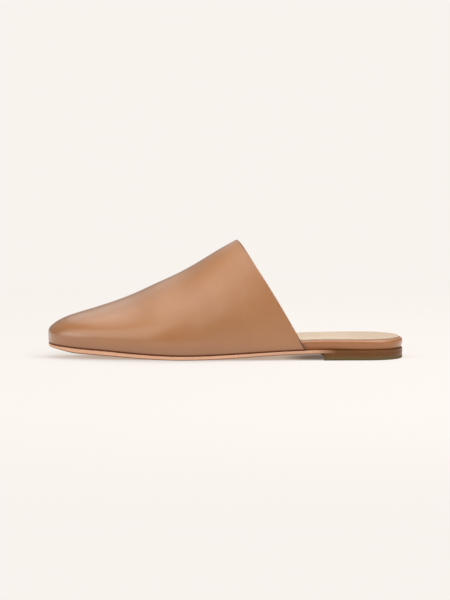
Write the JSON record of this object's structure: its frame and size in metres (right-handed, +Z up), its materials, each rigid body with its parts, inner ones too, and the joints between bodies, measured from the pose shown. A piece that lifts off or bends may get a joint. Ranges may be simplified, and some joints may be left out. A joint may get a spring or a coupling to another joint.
{
  "type": "mule shoe",
  "caption": "Backless flat slip-on shoe for a left foot: a smooth closed-toe leather upper on a leather-covered footbed, a thin outsole and a low heel.",
  "frame": {"origin": "on the floor, under the middle of the shoe's box", "axes": "+X towards the toe, +Y towards the outer side of the left foot, +Z up"},
  "size_m": [0.256, 0.0904, 0.0847],
  "materials": {
    "upper_leather": "smooth, semi-matt",
    "footbed_leather": "smooth, semi-matt",
    "sock_leather": "matt lining leather",
    "outsole_leather": "dyed and burnished edge",
    "heel_leather": "stained and polished edge",
    "top_piece_rubber": "matt"
  },
  "bodies": {
    "root": {"upper": "upper_leather", "footbed": "footbed_leather", "sock": "sock_leather", "outsole": "outsole_leather", "heel_lift": "heel_leather", "top_piece": "top_piece_rubber"}
  },
  "joints": []
}
